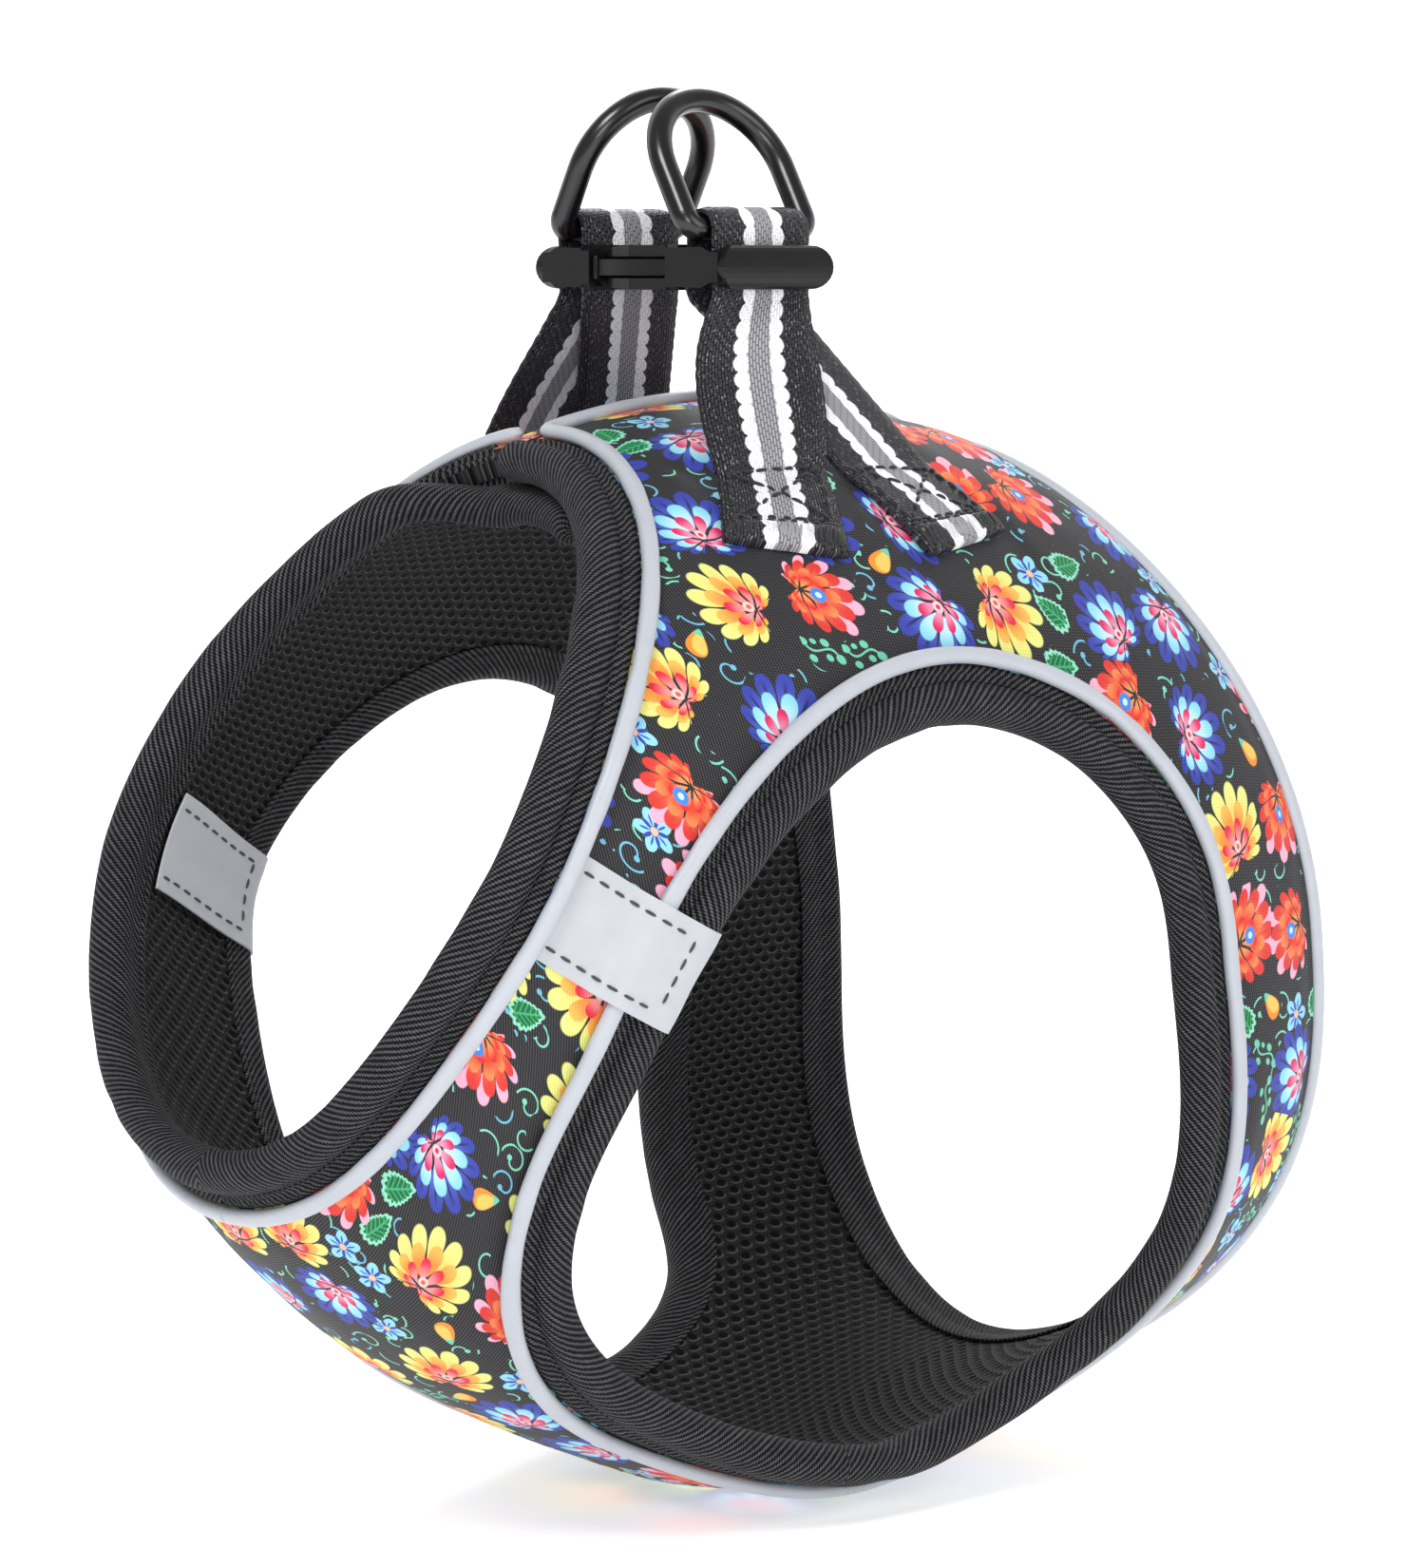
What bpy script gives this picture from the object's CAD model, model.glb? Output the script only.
# Padded pet harness vest with a printed outer fabric, air mesh lining, rolled bindings,
# reflective piping and tapes, webbing loops, D-rings and a buckle.
# The neck opening faces -X, the rear edge +X, the belly is down and the wearer's left is -Y.
# Shapes are worked out in mm about a local origin; SHIFT moves them before the change to metres.
import math
import bmesh
import bpy
import numpy as np
from mathutils import Matrix, Vector


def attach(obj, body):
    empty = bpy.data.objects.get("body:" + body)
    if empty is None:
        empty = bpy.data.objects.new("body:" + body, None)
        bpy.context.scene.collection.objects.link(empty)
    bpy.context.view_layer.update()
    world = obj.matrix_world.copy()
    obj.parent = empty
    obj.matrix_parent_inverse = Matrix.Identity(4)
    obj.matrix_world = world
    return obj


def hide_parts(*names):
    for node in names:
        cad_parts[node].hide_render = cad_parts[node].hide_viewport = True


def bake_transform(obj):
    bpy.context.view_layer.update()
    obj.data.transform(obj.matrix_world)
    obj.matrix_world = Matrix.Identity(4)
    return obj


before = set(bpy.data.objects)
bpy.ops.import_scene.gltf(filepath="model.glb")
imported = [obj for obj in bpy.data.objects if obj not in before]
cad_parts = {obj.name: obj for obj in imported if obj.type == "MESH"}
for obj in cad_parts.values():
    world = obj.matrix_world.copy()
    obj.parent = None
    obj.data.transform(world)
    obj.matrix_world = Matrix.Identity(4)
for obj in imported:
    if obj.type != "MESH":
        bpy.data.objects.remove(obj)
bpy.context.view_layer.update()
DETAIL = 1.0      # share of the full mesh density
pi = math.pi
TAU = 2 * pi

SHIFT = np.array([9.935, 0.0, 113.43])
UV_UNIT = 100           # mm per uv unit
BACK_UV = 4000.0        # mm the uv of the print's unseen faces is moved by
TOP_Y = {"left": -3.0, "right": 4.5}    # where each side's panel ends over the back
MESH_LENGTH, MESH_WIDTH = 3.0, 1.7      # spacing of the lining's holes
TAPE_WIDTH = 16.4
TAPE_UV_WIDTH = 16.5
FRONT_FOOT, REAR_FOOT = (-15.3, 29.0), (7.7, 28.3)      # webbing feet: x, angle

# leg hole outline: share of the way from neck to rear, angle round the body
LEG_HOLE = np.array([
    [.556, 154.8], [.443, 156.1], [.334, 152.2], [.247, 141.9], [.202, 127.1], [.187, 111.1],
    [.187, 94.8], [.234, 80.3], [.319, 69.8], [.426, 64.3], [.539, 63.7], [.648, 68.0],
    [.730, 78.8], [.761, 94.4], [.769, 110.5], [.773, 126.8], [.758, 142.7], [.668, 151.8]])


# ---------------------------------------------------------------- vest surface
# A place on it is (along, angle): 0 at the neck to 1 at the rear, and degrees round the
# body from 0 over the back to 180 at the belly.
def half_width(along):
    return 46 + 11 * along + 50 * along * (1 - along)


def surface(along, angle):
    turn = np.radians(angle)
    cosine = np.cos(turn)
    low = np.clip(-cosine, 0, 1)
    top = 53 + along + 28 * along * (1 - along)
    sag = along * (1 + .75 * (1 - along))
    bottom = (-48 - 55 * along - 32 * np.sin(pi * sag) + 4 * np.sin(TAU * along)
              - 9.5 * np.exp(-((along - .62) / .2) ** 2))
    skew = -.05 + .13 * along - .14 * np.sin(TAU * along)
    x_neck = -77.5 + 29.5 * cosine + 4 * np.cos(2 * turn)
    x_rear = 70 - 10 * cosine - 12 * np.cos(2 * turn)
    swell = 2.432 * np.exp(-((along - .53) / .24) ** 2) * low ** 12 * (1 - low ** 6)
    widen = 1 + skew * 6.75 * low * low * (1 - low) + swell
    return np.stack([(1 - along) * x_neck + along * x_rear,
                     -half_width(along) * np.sin(turn) * widen,
                     (top + bottom) / 2 + (top - bottom) / 2 * cosine], -1)


def slope_along(along, angle):
    return (surface(along + .002, angle) - surface(along - .002, angle)) / .004


def slope_round(along, angle):
    return (surface(along, angle + .2) - surface(along, angle - .2)) / .4


def unit(vectors):
    return vectors / np.maximum(np.linalg.norm(vectors, axis=-1, keepdims=True), 1e-12)


def normal(along, angle):
    return unit(np.cross(slope_round(along, angle), slope_along(along, angle)))


def lifted(along, angle, height):
    """Point at a height over the surface."""
    return surface(along, angle) + normal(along, angle) * np.asarray(height)[..., None]


def dot(first, second):
    return (first * second).sum(-1)


def sidestep(along, angle, step_along, step_angle, distance):
    """Places moved on the surface by a distance square to a path's heading."""
    length, round_ = slope_along(along, angle), slope_round(along, angle)
    heading = length * step_along[..., None] + round_ * step_angle[..., None]
    move = unit(np.cross(heading, unit(np.cross(round_, length)))) * distance[..., None]
    ll, lr, rr = dot(length, length), dot(length, round_), dot(round_, round_)
    ml, mr = dot(move, length), dot(move, round_)
    det = ll * rr - lr * lr
    return along + (rr * ml - lr * mr) / det, angle + (ll * mr - lr * ml) / det


def leg_spline(share):
    """Closed Catmull-Rom curve through LEG_HOLE."""
    place = share * len(LEG_HOLE)
    start = np.floor(place).astype(int)
    f = (place - start)[..., None]
    a, b, c, d = (LEG_HOLE[(start + k) % len(LEG_HOLE)] for k in (-1, 0, 1, 2))
    curve = .5 * (2 * b + (c - a) * f + (2 * a - 5 * b + 4 * c - d) * f * f
                  + (3 * b - a - 3 * c + d) * f ** 3)
    return curve[..., 0], curve[..., 1]


# the leg hole outline, evened to equal steps along its length and faired a little
LEG_STEPS = 1440
FAIR_REACH = 60
raw_share = np.linspace(0, 1, LEG_STEPS + 1)
raw_ring = surface(*leg_spline(raw_share[:-1]))
raw_length = np.r_[0, np.cumsum(np.linalg.norm(np.roll(raw_ring, -1, 0) - raw_ring, axis=1))]
LEG_LENGTH = raw_length[-1]
even_share = np.interp(np.arange(LEG_STEPS) / LEG_STEPS * LEG_LENGTH, raw_length, raw_share)
fair_weights = np.exp(-(np.arange(-FAIR_REACH, FAIR_REACH + 1) / 24.0) ** 2)
fair_weights /= fair_weights.sum()


def blur_ring(values):
    padded = np.r_[values[-FAIR_REACH:], values, values[:FAIR_REACH]]
    return np.convolve(padded, fair_weights, "valid")


def fair_ring(values):
    """Blur, with most of the blur's shrinkage added back."""
    blurred = blur_ring(values)
    return blurred + (blurred - blur_ring(blurred))


LEG_ALONG, LEG_ANGLE = (fair_ring(values) for values in leg_spline(even_share))
LEG_HEADING = [np.roll(values, -4) - np.roll(values, 4) for values in (LEG_ALONG, LEG_ANGLE)]
# shares of the leg hole's length that face the corners of a side panel
CORNERS = np.interp([0, .125, .42, .635, .865, 1.0], raw_share, raw_length) / LEG_LENGTH


def leg_share_at(angle):
    """Where the front of the leg hole outline passes an angle."""
    share = np.linspace(.12, .46, 600)
    angles = np.interp(share * LEG_STEPS, np.arange(LEG_STEPS), LEG_ANGLE)
    return float(np.interp(-angle, -angles, share))


def leg_offset(share, distance):
    """Places at a distance outward from the leg hole's edge."""
    place = (np.asarray(share, float) % 1.0) * LEG_STEPS
    values = [np.interp(place, np.arange(LEG_STEPS + 1), np.r_[ring, ring[:1]])
              for ring in (LEG_ALONG, LEG_ANGLE, *LEG_HEADING)]
    return sidestep(*values, -distance * np.ones_like(place))


def neck_offset(angle, distance):
    """Places at a distance behind the neck edge."""
    zeros, ones = np.zeros_like(angle), np.ones_like(angle)
    return sidestep(zeros, angle, zeros, ones, -distance * ones)


def rear_offset(angle, distance):
    """Places at a distance ahead of the rear edge."""
    zeros, ones = np.zeros_like(angle), np.ones_like(angle)
    return sidestep(ones, angle, zeros, ones, distance * ones)


def top_angle(along, y):
    return np.degrees(np.arcsin(y / half_width(along)))


def bilinear(grid, row, column):
    i = np.clip(np.floor(row).astype(int), 0, grid.shape[0] - 2)
    j = np.clip(np.floor(column).astype(int), 0, grid.shape[1] - 2)
    a, b = row - i, column - j
    return ((grid[i, j] * (1 - a) + grid[i + 1, j] * a) * (1 - b)
            + (grid[i, j + 1] * (1 - a) + grid[i + 1, j + 1] * a) * b)


def path_length(points):
    """Running length along rows of points."""
    return np.r_[0, np.cumsum(np.linalg.norm(np.diff(points, axis=0), axis=-1))]


# cloth coordinates in mm: length along the body, girth round it from the belly line
grid_along = np.linspace(-.06, 1.06, 225)
grid_angle = np.linspace(-24, 204, 229)
cloth_points = surface(grid_along[:, None], grid_angle[None, :])
CLOTH_LENGTH = np.stack([path_length(cloth_points[:, j]) for j in range(len(grid_angle))], 1)
for j in range(len(grid_angle)):
    CLOTH_LENGTH[:, j] -= np.interp(0.0, cloth_points[:, j, 0], CLOTH_LENGTH[:, j])
GIRTH_ANGLE = np.linspace(-24, 204, 915)
GIRTH = path_length(surface(np.full(915, .3), GIRTH_ANGLE))
GIRTH = np.interp(180, GIRTH_ANGLE, GIRTH) - GIRTH


def cloth_uv(along, angle):
    row = (along - grid_along[0]) / (grid_along[1] - grid_along[0])
    column = (angle - grid_angle[0]) / (grid_angle[1] - grid_angle[0])
    return bilinear(CLOTH_LENGTH, row, column), np.interp(angle, GIRTH_ANGLE, GIRTH)


# ---------------------------------------------------------------- noise and easing
def smooth(x):
    x = np.clip(x, 0, 1)
    return x * x * (3 - 2 * x)


def dome(x, power=2, least=0):
    """1 at x = 0, rounding off to least at x = 1."""
    return np.sqrt(np.clip(1 - np.clip(x, 0, 1) ** power, least, 1))


def ring_noise(count, step, size, seed):
    """Smooth noise that closes on itself; step is in samples."""
    knots = max(4, int(count / step))
    values = np.random.default_rng(seed).normal(0, 1, knots)
    place = np.arange(count) / count * knots
    i = np.floor(place).astype(int)
    f = place - i
    f = f * f * (3 - 2 * f)
    return size * (values[i % knots] * (1 - f) + values[(i + 1) % knots] * f)


def value_noise(x, y, seed):
    """Smooth noise on a unit lattice, about -1 to 1."""
    table = np.random.default_rng(seed).uniform(-1, 1, (256, 256))
    i, j = np.floor(x).astype(int), np.floor(y).astype(int)
    a, b = smooth(x - i), smooth(y - j)

    def knot(row, column):
        return table[row % 256, column % 256]
    return ((knot(i, j) * (1 - a) + knot(i + 1, j) * a) * (1 - b)
            + (knot(i, j + 1) * (1 - a) + knot(i + 1, j + 1) * a) * b)


def interp_rows(x, knots, rows):
    return np.stack([np.interp(x, knots, column) for column in rows.T], 1)


def blur_rows(rows, spacing, spread, reach):
    """Gaussian blur down the rows; the ends are mirrored so that they stay put."""
    weights = np.exp(-(np.arange(-reach, reach + 1) * spacing / spread) ** 2 / 2)
    weights /= weights.sum()
    padded = np.vstack([2 * rows[0] - rows[reach:0:-1], rows,
                        2 * rows[-1] - rows[-2:-reach - 2:-1]])
    return np.stack([np.convolve(column, weights, "valid") for column in padded.T], 1)


# ---------------------------------------------------------------- mesh helpers
SIDES = {"left": 1.0, "right": -1.0}
MATERIALS = {}


def mirror(points, side):
    """Shapes are drawn for the left side."""
    return points * np.array([1, SIDES[side], 1])


def volume(verts, faces):
    a, b, c, d = (verts[faces[:, k]] for k in range(4))
    return (np.einsum("ij,ij->i", a, np.cross(b, c))
            + np.einsum("ij,ij->i", a, np.cross(c, d))).sum() / 6


def add_mesh(name, verts, faces, uv, material, sharp=None, wrap=None):
    """verts and uv in mm; faces an array of quads or a list; wrap: the uv's two periods."""
    mesh = bpy.data.meshes.new(name)
    verts = verts.reshape(-1, 3)
    placed = (verts + SHIFT) / 1000
    if isinstance(faces, np.ndarray):
        if volume(verts, faces) < 0:
            faces = faces[:, ::-1]
        mesh.vertices.add(len(placed))
        mesh.vertices.foreach_set("co", placed.astype(np.float32).ravel())
        mesh.loops.add(4 * len(faces))
        mesh.loops.foreach_set("vertex_index", faces.astype(np.int32).ravel())
        mesh.polygons.add(len(faces))
        mesh.polygons.foreach_set("loop_start", (np.arange(len(faces)) * 4).astype(np.int32))
        mesh.update(calc_edges=True)
    else:
        mesh.from_pydata(placed.tolist(), [], faces)
    mesh.validate()
    corners = np.zeros(len(mesh.loops), np.int32)
    mesh.loops.foreach_get("vertex_index", corners)
    layer = mesh.uv_layers.new(name="UVMap")
    uv = uv[corners]
    if wrap is not None:
        uv = uv.reshape(-1, 4, 2)
        for axis, period in enumerate(wrap):
            if period:
                part = uv[:, :, axis]
                part += period * (part.max(1, keepdims=True) - part > period / 2)
    layer.data.foreach_set("uv", (uv.reshape(-1, 2) / UV_UNIT).astype(np.float32).ravel())
    mesh.polygons.foreach_set("use_smooth", [True] * len(mesh.polygons))
    if sharp:
        mesh.set_sharp_from_angle(angle=math.radians(sharp))
    ob = bpy.data.objects.new(name, mesh)
    bpy.context.scene.collection.objects.link(ob)
    mesh.materials.append(MATERIALS[material])
    return ob


def register(ob, side, replaced, blended):
    """Slot and CAD pieces replaced; blended pieces bend from the chest into the side."""
    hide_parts(*replaced)
    if blended:
        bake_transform(ob)
    else:
        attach(ob, side + "_side")


def quads(rows, columns, close_rows=False, close_columns=False):
    i, j = np.meshgrid(np.arange(rows if close_rows else rows - 1),
                       np.arange(columns if close_columns else columns - 1), indexing="ij")
    i, j = i.ravel(), j.ravel()
    here, below = i * columns, ((i + 1) % rows) * columns
    after = (j + 1) % columns
    return np.stack([here + j, here + after, below + after, below + j], 1)


def grid_uv(down, across):
    return np.stack([np.repeat(down, len(across)), np.tile(across, len(down))], 1)


def thicken(top, bottom, uv, closed):
    """Closed solid from two copies of a sheet, with walls along the free edges."""
    faces = quads(*top.shape[:2], closed)
    count = top.shape[0] * top.shape[1]
    free = {}
    for face in faces:
        for k in range(4):
            a, b = int(face[k]), int(face[(k + 1) % 4])
            if (b, a) in free:
                del free[(b, a)]
            else:
                free[(a, b)] = True
    walls = np.array([[b, a, a + count, b + count] for a, b in free], int)
    faces = np.vstack([faces, faces[:, ::-1] + count, walls])
    used = np.unique(faces)
    renumber = -np.ones(2 * count, int)
    renumber[used] = np.arange(len(used))
    verts = np.vstack([top.reshape(-1, 3), bottom.reshape(-1, 3)])
    return verts[used], renumber[faces], np.vstack([uv, uv])[used], used >= count


def add_sheet(name, side, top, bottom, uv, finish, sharp, replaced, panel=False):
    """A thick sheet; a panel closes into a ring and blends into the chest."""
    verts, faces, uv, is_bottom = thicken(top, bottom, uv, panel)
    wrap = None
    if finish == "printed_fabric":      # the print shows on the outer face only
        uv = uv + np.array([BACK_UV, 0.0]) * is_bottom[:, None]
        wrap = (BACK_UV, 0)
    ob = add_mesh(name, verts, faces, uv, finish, sharp, wrap)
    register(ob, side, replaced, blended=panel)


def add_tube(name, side, rings, closed, uv, finish, replaced, sharp, wrap):
    """rings (rows, columns, 3); open ends are closed with a strip cap."""
    rows, columns = rings.shape[:2]
    faces = [quads(rows, columns, closed, True)]
    if not closed:
        k = np.arange(columns // 2 - 1)
        last = columns - 1
        end = np.stack([k, k + 1, last - 1 - k, last - k], 1) + (rows - 1) * columns
        faces += [np.stack([k + 1, k, last - k, last - 1 - k], 1), end]
    ob = add_mesh(name, mirror(rings, side), np.vstack(faces), uv, finish, sharp, wrap)
    register(ob, side, replaced, blended=True)


# ---------------------------------------------------------------- shader helpers
def rgb(*levels):
    """Linear colour from 0-255 sRGB levels."""
    levels = [level / 255 for level in levels]
    return tuple(x / 12.92 if x <= .04045 else ((x + .055) / 1.055) ** 2.4
                 for x in levels) + (1.0,)


def math_node(operation, swapped=False):
    def method(self, *others, clamp=False):
        values = (*others, self) if swapped else (self, *others)
        node = self.shader.add("Math", dict(enumerate(values)),
                               operation=operation, use_clamp=clamp)
        return Signal(self.shader, node.outputs[0])
    return method


class Signal:
    """An output socket; each arithmetic step written on it adds one node."""
    def __init__(self, shader, socket):
        self.shader, self.socket = shader, socket

    __add__, __radd__ = math_node("ADD"), math_node("ADD", swapped=True)
    __sub__, __rsub__ = math_node("SUBTRACT"), math_node("SUBTRACT", swapped=True)
    __mul__, __rmul__ = math_node("MULTIPLY"), math_node("MULTIPLY", swapped=True)
    __truediv__ = math_node("DIVIDE")
    __mod__ = math_node("FLOORED_MODULO")
    __pow__ = math_node("POWER")
    __gt__ = math_node("GREATER_THAN")
    __lt__ = math_node("LESS_THAN")
    __abs__ = math_node("ABSOLUTE")
    sin, cos = math_node("SINE"), math_node("COSINE")
    sqrt, floor = math_node("SQRT"), math_node("FLOOR")
    arctan2, max = math_node("ARCTAN2"), math_node("MAXIMUM")
    times_plus = math_node("MULTIPLY_ADD")

    def wave(self, period):
        return (self * (TAU / period)).sin()

    def below(self, edge, soft):
        """1 where the signal is under the edge, fading over soft on each side."""
        return (edge - self).times_plus(1 / (2 * soft), .5, clamp=True)

    def ramp(self, low, high):
        node = self.shader.add("MapRange", {0: self, 1: low, 2: high},
                               interpolation_type="SMOOTHSTEP")
        return Signal(self.shader, node.outputs[0])

    def parts(self, kind="XYZ"):
        node = self.shader.add("Separate" + kind, {0: self})
        return [Signal(self.shader, socket) for socket in node.outputs]

    def noise(self, scale, detail=2.0, roughness=.5):
        node = self.shader.add("TexNoise", {"Vector": self, "Scale": scale, "Detail": detail,
                                            "Roughness": roughness})
        return Signal(self.shader, node.outputs[0])

    def voronoi(self, randomness):
        """Distance, colour and place of the nearest cell."""
        node = self.shader.add("TexVoronoi", {"Scale": 1.0, "Randomness": randomness,
                                              "Vector": self}, voronoi_dimensions="2D")
        return [Signal(self.shader, node.outputs[key])
                for key in ("Distance", "Color", "Position")]

    def bump(self, strength, distance, under=None):
        """Normal from this height, distance in metres, on top of another normal."""
        inputs = {"Strength": strength, "Distance": distance, "Height": self}
        if under:
            inputs["Normal"] = under
        return Signal(self.shader, self.shader.add("Bump", inputs).outputs[0])


class Shader:
    INPUTS = {"color": "Base Color", "rough": "Roughness", "normal": "Normal",
              "sheen": "Sheen Weight", "sheen_rough": "Sheen Roughness",
              "spec": "Specular IOR Level", "coat": "Coat Weight",
              "coat_rough": "Coat Roughness", "emission": "Emission Color",
              "emission_strength": "Emission Strength"}

    def __init__(self, name):
        self.name = name
        self.material = bpy.data.materials.new(name)
        self.material.use_nodes = True
        self.tree = self.material.node_tree
        self.tree.nodes.clear()
        output = self.add("OutputMaterial")
        self.principled = self.add("BsdfPrincipled")
        self.tree.links.new(self.principled.outputs[0], output.inputs[0])

    def put(self, socket, value):
        if isinstance(value, Signal):
            self.tree.links.new(value.socket, socket)
        else:
            socket.default_value = value

    def add(self, kind, inputs={}, **settings):
        node = self.tree.nodes.new("ShaderNode" + kind)
        for key, value in settings.items():
            setattr(node, key, value)
        for key, value in inputs.items():
            self.put(node.inputs[key], value)
        return node

    def uv(self):
        """The uv in mm."""
        node = self.add("UVMap", uv_map="UVMap")
        x, y, _ = Signal(self, node.outputs[0]).parts()
        return x * UV_UNIT, y * UV_UNIT

    def object_place(self):
        place = Signal(self, self.add("TexCoord").outputs["Object"])
        return Signal(self, self.add("Mapping", {"Vector": place}).outputs[0])

    def finish(self, **values):
        for key, value in values.items():
            self.put(self.principled.inputs[self.INPUTS[key]], value)
        MATERIALS[self.name] = self.material


def mix(factor, low, high):
    node = factor.shader.add("Mix", {0: factor, 6: low, 7: high}, data_type="RGBA")
    return Signal(factor.shader, node.outputs[2])


def vector(x, y):
    return Signal(x.shader, x.shader.add("CombineXYZ", {0: x, 1: y}).outputs[0])


def ellipse(x, y, half_x, half_y):
    """1 on the outline of an ellipse, less inside."""
    return (x / half_x) * (x / half_x) + (y / half_y) * (y / half_y)


# ---------------------------------------------------------------- printed fabric
def petals(radius, turn, count, middle, half_length, half_petal):
    """Elliptical petals round a centre; below 1 inside one."""
    part = (turn * (count / TAU)) % 1.0 - .5
    across = part * (TAU / count) * radius / half_petal
    out = (radius - middle) / half_length
    return out * out + across * across


def nearest_cell(x, y, pitch, jitter, shift, zoom=1.0):
    """Radius and turn about the nearest point of a jittered lattice, its place in
    lattice units, and three random numbers for it."""
    place = vector((x + shift[0]) / pitch, (y + shift[1]) / pitch)
    _, tint, centre = place.voronoi(jitter)
    centre_x, centre_y, _ = centre.parts()
    place_x, place_y, _ = place.parts()
    randoms = tint.parts("Color")
    from_x = (place_x - centre_x) * (pitch / zoom)
    from_y = (place_y - centre_y) * (pitch / zoom)
    radius = (from_x * from_x + from_y * from_y).sqrt()
    turn = from_y.arctan2(from_x) + randoms[0] * TAU
    return radius, turn, (centre_x, centre_y), randoms


def leaf_motif(x, y, turn):
    shape = ellipse(x, y, 3.2, 2.0 - x * .3)
    shape = shape + (turn * 17.0).sin() * .11       # toothed edge
    mask = shape.below(.98, soft=.07) * 1.0
    midrib = abs(y).below(.15, soft=.05)
    veins = abs((x + abs(y) * -.8) % .95 - .47).below(.12, soft=.05)
    colour = mix(midrib.max(veins), rgb(16, 112, 62), rgb(70, 176, 120))
    return mask, mix(shape.below(.62, soft=.05), rgb(150, 226, 196), colour)


def drop_motif(x, y):
    shape = ellipse(x, y, 2.5, 1.35 + x * -.3)
    mask = shape.below(1.0, soft=.08)
    colour = mix((shape + y * .3).below(.5, soft=.12), rgb(242, 146, 50), rgb(252, 200, 98))
    return mask, mix(x > 1.35, colour, rgb(110, 205, 170))


def sprig_motif(x, y):
    mask = abs(y - (x * 1.0).sin() * .8).below(.17, soft=.05) * (abs(x) < 3.2)
    berries = [(-3.0, -.1, .75), (3.0, .2, .8), (.2, 1.25, .7),      # x, y, radius
               (1.3, -.5, .6), (-1.1, -1.9, .65), (-1.5, .6, .5)]
    for berry_x, berry_y, size in berries:
        distance = ((x - berry_x) * (x - berry_x)
                    + ((y - berry_y) * 1.3) * ((y - berry_y) * 1.3)).sqrt()
        mask = mask.max(distance.below(size, soft=.06))
    return mask


def flower_motif(radius, turn):
    outer = petals(radius, turn, count=5, middle=1.95, half_length=1.25,
                   half_petal=1.02).below(1.0, soft=.09)
    between = petals(radius, turn + pi / 5, count=5, middle=1.35, half_length=.85,
                     half_petal=.3).below(1.0, soft=.12)
    streak = petals(radius, turn, count=5, middle=1.5, half_length=.75,
                    half_petal=.16).below(1.0, soft=.2)
    colour = mix(streak, rgb(150, 218, 238), rgb(58, 84, 190))
    colour = mix(between, colour, rgb(58, 70, 176))
    colour = mix(radius.below(.62, soft=.07), colour, rgb(252, 196, 160))
    return outer.max(between).max(radius.below(.62, soft=.07)), colour


def fan_flowers(colour, radius, turn, kind, size):
    """Big flowers of three kinds, petals spreading from a base near one side."""
    second, third = kind > .37, kind > .70      # third also counts as second

    def tint(first_rgb, second_rgb, third_rgb):
        return mix(third, mix(second, rgb(*first_rgb), rgb(*second_rgb)), rgb(*third_rgb))

    def amount(first_value, second_value, third_value):
        return ((1.0 - second) * first_value + (second - third) * second_value
                + third * third_value)

    x = radius * turn.cos() + third.times_plus(-1.2, 3.0)
    y = radius * turn.sin()
    distance = (x * x + y * y).sqrt()
    heading = y.arctan2(x)
    reach = (heading * .8).cos().times_plus(5.0, size.times_plus(1.0, 4.6))
    reach = reach * third.times_plus(-.16, 1.0)
    out = distance / reach

    def fan(count, start, end, half_petal, turned=0.0):
        across = heading.times_plus(count / TAU, turned) % 1.0 - .5
        down = (out - (start + end) / 2) / ((end - start) / 2)
        width = across / (half_petal * out.times_plus(.25, .8))
        return down * down + width * width, across

    spread = abs(heading) < amount(2.75, 2.15, 2.35)
    # long pale petals on one side of the third kind
    shape, _ = fan(13, start=.62, end=1.16, half_petal=.3, turned=.5)
    one_side = third * (abs(heading - .9) < 1.5)
    colour = mix(shape.below(1.0, soft=.1) * one_side, colour, rgb(247, 178, 204))
    # outer petals with a streak down each
    shape, across = fan(15, start=.34, end=1.0, half_petal=.47)
    petal = mix(out.ramp(.45, .9), tint((84, 102, 200), (248, 212, 112), (242, 112, 74)),
                tint((56, 68, 168), (233, 236, 136), (222, 58, 50)))
    streak = abs(across).below(.07, soft=.04) * out.ramp(.95, .7)
    petal = mix(streak * amount(.85, .12, .35), petal,
                tint((20, 22, 60), (240, 160, 70), (180, 24, 34)))
    colour = mix(shape.below(1.0, soft=.09) * spread, colour, petal)
    # middle petals
    shape, _ = fan(11, start=.22, end=.74, half_petal=.44, turned=.3)
    petal = mix(out.ramp(.4, .7), tint((190, 236, 246), (246, 140, 60), (236, 66, 46)),
                tint((142, 216, 238), (250, 184, 84), (248, 138, 80)))
    colour = mix(shape.below(1.0, soft=.1) * (abs(heading) < 2.5), colour, petal)
    # inner petals
    shape, _ = fan(9, start=.08, end=.5, half_petal=.42)
    petal = mix(out.ramp(.2, .46), tint((250, 150, 180), (250, 150, 150), (250, 150, 90)),
                tint((224, 34, 104), (226, 38, 66), (228, 44, 44)))
    colour = mix(shape.below(1.0, soft=.1), colour, petal)
    # eye and its dot
    eye = ((x - third.times_plus(1.6, 1.1)) * (x - third.times_plus(1.6, 1.1)) + y * y).sqrt()
    colour = mix(eye.below(third.times_plus(.35, .85), soft=.1), colour,
                 tint((253, 208, 216), (253, 204, 190), (70, 140, 222)))
    return mix(eye.below(third.times_plus(.1, .38), soft=.07), colour,
               tint((226, 40, 76), (236, 90, 90), (206, 238, 248)))


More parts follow.
